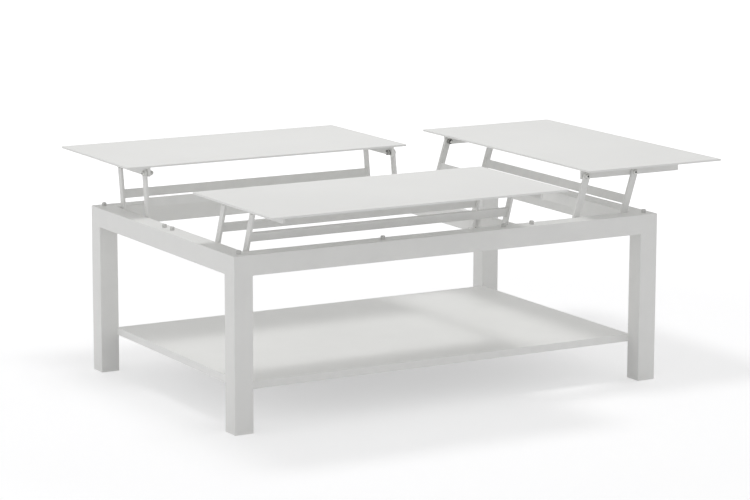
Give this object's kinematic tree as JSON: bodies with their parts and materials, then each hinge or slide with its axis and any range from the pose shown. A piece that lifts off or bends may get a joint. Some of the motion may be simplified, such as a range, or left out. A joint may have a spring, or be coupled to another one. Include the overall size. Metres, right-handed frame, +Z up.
{
  "type": "height-adjustable table",
  "caption": "White low table whose tops lift up and outwards separately on parallel arms above a tube frame with a low shelf",
  "frame": {"origin": "on the floor under the middle of the table's bounding box, with all three tops raised", "axes": "+X runs along the frame towards the end top, +Y towards the back top, +Z is up"},
  "size_m": [1.397, 1.1712, 0.5587],
  "materials": {
    "white_powder_coat": "white fine-textured satin powder coat on aluminium",
    "white_plastic": "white moulded polyethylene, matt",
    "white_nylon": "natural white nylon, matt",
    "stainless_steel": "stainless steel, satin",
    "dark_steel": "blackened steel, satin",
    "grey_rubber": "grey rubber, matt"
  },
  "bodies": {
    "frame": {"leg_front_left": "white_powder_coat", "leg_front_right": "white_powder_coat", "leg_back_left": "white_powder_coat", "leg_back_right": "white_powder_coat", "foot_caps": "white_plastic", "front_rail": "white_powder_coat", "back_rail": "white_powder_coat", "left_rail": "white_powder_coat", "right_rail": "white_powder_coat", "mid_rail": "white_powder_coat", "shelf_sheet": "white_powder_coat", "shelf_edge_front": "white_powder_coat", "shelf_edge_back": "white_powder_coat", "shelf_edge_left": "white_powder_coat", "shelf_edge_right": "white_powder_coat", "shelf_ribs": "white_powder_coat", "rest_bumpers": "grey_rubber", "lower_pivot_inserts": "dark_steel", "lower_pivot_spacers": "white_nylon", "lower_pivot_bolts": "stainless_steel"},
    "back_inner_arms": {"back_top_inner_arm_right": "white_powder_coat", "back_top_inner_arm_left": "white_powder_coat", "back_top_inner_crossbar": "white_powder_coat"},
    "back_outer_arms": {"back_top_outer_arm_right": "white_powder_coat", "back_top_outer_arm_left": "white_powder_coat", "back_top_outer_crossbar": "white_powder_coat"},
    "back_leaf": {"back_top_panel": "white_powder_coat", "back_top_under_rail_right": "white_powder_coat", "back_top_under_rail_left": "white_powder_coat", "back_top_pivot_bolts": "stainless_steel", "back_top_pivot_nuts": "stainless_steel", "back_top_pivot_washers": "white_nylon"},
    "front_inner_arms": {"front_top_inner_arm_left": "white_powder_coat", "front_top_inner_arm_right": "white_powder_coat", "front_top_inner_crossbar": "white_powder_coat"},
    "front_outer_arms": {"front_top_outer_arm_left": "white_powder_coat", "front_top_outer_arm_right": "white_powder_coat", "front_top_outer_crossbar": "white_powder_coat"},
    "front_leaf": {"front_top_panel": "white_powder_coat", "front_top_under_rail_left": "white_powder_coat", "front_top_under_rail_right": "white_powder_coat", "front_top_pivot_bolts": "stainless_steel", "front_top_pivot_nuts": "stainless_steel", "front_top_pivot_washers": "white_nylon"},
    "end_inner_arms": {"end_top_inner_arm_front": "white_powder_coat", "end_top_inner_arm_back": "white_powder_coat", "end_top_inner_crossbar": "white_powder_coat"},
    "end_outer_arms": {"end_top_outer_arm_front": "white_powder_coat", "end_top_outer_arm_back": "white_powder_coat", "end_top_outer_crossbar": "white_powder_coat"},
    "end_leaf": {"end_top_panel": "white_powder_coat", "end_top_under_rail_front": "white_powder_coat", "end_top_under_rail_back": "white_powder_coat", "end_top_pivot_bolts": "stainless_steel", "end_top_pivot_nuts": "stainless_steel", "end_top_pivot_washers": "white_nylon"}
  },
  "joints": [
    {"name": "back_lift", "type": "hinge", "parent": "frame", "child": "back_outer_arms", "pos_m": [-0.27096, 0.34753, 0.388], "axis": [1, 0, 0], "range_deg": [0, 87.3]},
    {"name": "back_inner_swing", "type": "hinge", "parent": "frame", "child": "back_inner_arms", "pos_m": [-0.27096, 0.20253, 0.388], "axis": [1, 0, 0], "range_deg": [0, 87.3]},
    {"name": "back_leaf_level", "type": "hinge", "parent": "back_outer_arms", "child": "back_leaf", "pos_m": [-0.27096, 0.37053, 0.53319], "axis": [1, 0, 0], "range_deg": [-87.3, 0]},
    {"name": "front_lift", "type": "hinge", "parent": "frame", "child": "front_outer_arms", "pos_m": [-0.27096, -0.31136, 0.388], "axis": [-1, 0, 0], "range_deg": [0, 98.3]},
    {"name": "front_inner_swing", "type": "hinge", "parent": "frame", "child": "front_inner_arms", "pos_m": [-0.27096, -0.16636, 0.388], "axis": [-1, 0, 0], "range_deg": [0, 98.3]},
    {"name": "front_leaf_level", "type": "hinge", "parent": "front_outer_arms", "child": "front_leaf", "pos_m": [-0.27096, -0.36164, 0.52614], "axis": [-1, 0, 0], "range_deg": [-98.3, 0]},
    {"name": "end_lift", "type": "hinge", "parent": "frame", "child": "end_outer_arms", "pos_m": [0.43409, 0.01364, 0.388], "axis": [0, -1, 0], "range_deg": [0, 95.3]},
    {"name": "end_inner_swing", "type": "hinge", "parent": "frame", "child": "end_inner_arms", "pos_m": [0.28909, 0.01364, 0.388], "axis": [0, -1, 0], "range_deg": [0, 95.3]},
    {"name": "end_leaf_level", "type": "hinge", "parent": "end_outer_arms", "child": "end_leaf", "pos_m": [0.47707, 0.01364, 0.52858], "axis": [0, -1, 0], "range_deg": [-95.3, 0]}
  ],
  "couplings": [
    {"joint": "back_inner_swing", "follows": "back_lift", "ratio": 1},
    {"joint": "back_leaf_level", "follows": "back_lift", "ratio": -1},
    {"joint": "front_inner_swing", "follows": "front_lift", "ratio": 1},
    {"joint": "front_leaf_level", "follows": "front_lift", "ratio": -1},
    {"joint": "end_inner_swing", "follows": "end_lift", "ratio": 1},
    {"joint": "end_leaf_level", "follows": "end_lift", "ratio": -1}
  ]
}
